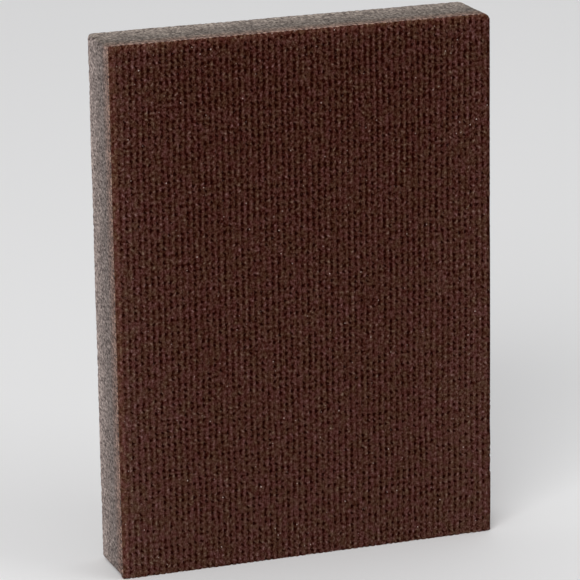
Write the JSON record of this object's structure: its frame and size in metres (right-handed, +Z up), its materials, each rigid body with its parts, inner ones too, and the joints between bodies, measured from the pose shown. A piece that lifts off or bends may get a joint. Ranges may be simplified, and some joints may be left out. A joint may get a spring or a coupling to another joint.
{
  "type": "sanding pad",
  "caption": "Upright rectangular hand sanding pad: soft grey open-cell foam slab faced on one side with a dark brown ribbed knit cloth coated in abrasive grain.",
  "frame": {"origin": "centre of the pad's foot, on the surface that it stands on", "axes": "+X across the pad, to the right as seen on the abrasive face; +Y through the thickness, from the abrasive face to the foam back; +Z up the long side"},
  "size_m": [0.0746, 0.0134, 0.102],
  "materials": {
    "foam": "matte",
    "glue": "matte",
    "knit": "matte",
    "make_resin": "satin",
    "grain": "matte",
    "size_resin": "satin"
  },
  "bodies": {
    "root": {"foam_core": "foam", "glue_film": "glue", "knit_backing": "knit", "make_coat": "make_resin", "abrasive_grain": "grain", "size_coat": "size_resin"}
  },
  "joints": []
}
